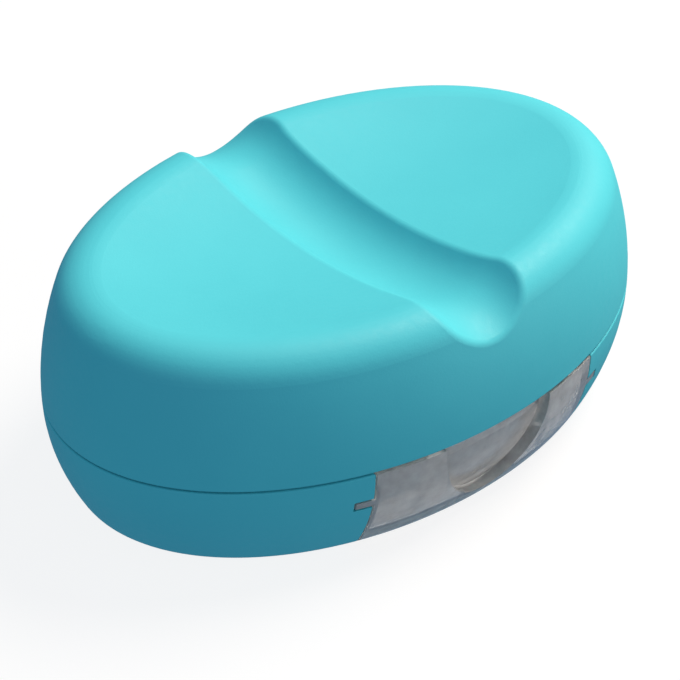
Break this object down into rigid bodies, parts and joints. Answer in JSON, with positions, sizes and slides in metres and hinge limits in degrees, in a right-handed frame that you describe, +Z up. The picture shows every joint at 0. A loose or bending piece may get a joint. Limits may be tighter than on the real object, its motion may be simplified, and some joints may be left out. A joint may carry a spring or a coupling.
{
  "type": "pill crusher",
  "caption": "Palm-sized oval pill crusher: hinged lid with a dished top and finger groove, ridged steel jaws inside, and a clear pull-out powder drawer at the front.",
  "frame": {"origin": "under the centre of the oval casing, on the plane that the feet stand on", "axes": "+X along the casing's long axis, -Y towards the drawer, +Y towards the hinge, +Z up"},
  "size_m": [0.092, 0.0636, 0.0335],
  "materials": {
    "teal_plastic": "satin moulded, fine spark texture",
    "clear_plastic": "clear, polished, faintly smoky",
    "inner_plastic": "light grey moulded",
    "jaw_steel": "stamped and brushed stainless",
    "pin_steel": "drawn wire, bright",
    "screw_steel": "zinc plated",
    "foot_rubber": "matt elastomer",
    "seal_silicone": "translucent white silicone"
  },
  "bodies": {
    "base": {"base_shell": "teal_plastic", "deck": "inner_plastic", "base_screws": "screw_steel", "lower_jaw": "jaw_steel", "well_collar": "inner_plastic", "collar_screws": "screw_steel", "well_seal": "seal_silicone", "hinge_pin": "pin_steel", "foot_front_left": "foot_rubber", "foot_front_right": "foot_rubber", "foot_rear_left": "foot_rubber", "foot_rear_right": "foot_rubber"},
    "cover": {"top_cover": "teal_plastic", "cover_liner": "inner_plastic", "liner_screws": "screw_steel", "jaw_block": "inner_plastic", "jaw_block_screws": "screw_steel", "upper_jaw": "jaw_steel", "upper_jaw_screws": "screw_steel"},
    "drawer": {"drawer": "clear_plastic"}
  },
  "joints": [
    {"name": "cover_hinge", "type": "hinge", "parent": "base", "child": "cover", "pos_m": [0, 0.0301, 0.0155], "axis": [-1, 0, 0], "range_deg": [0, 110]},
    {"name": "drawer_slide", "type": "slide", "parent": "base", "child": "drawer", "axis": [0, -1, 0], "range_m": [0, 0.052]}
  ]
}
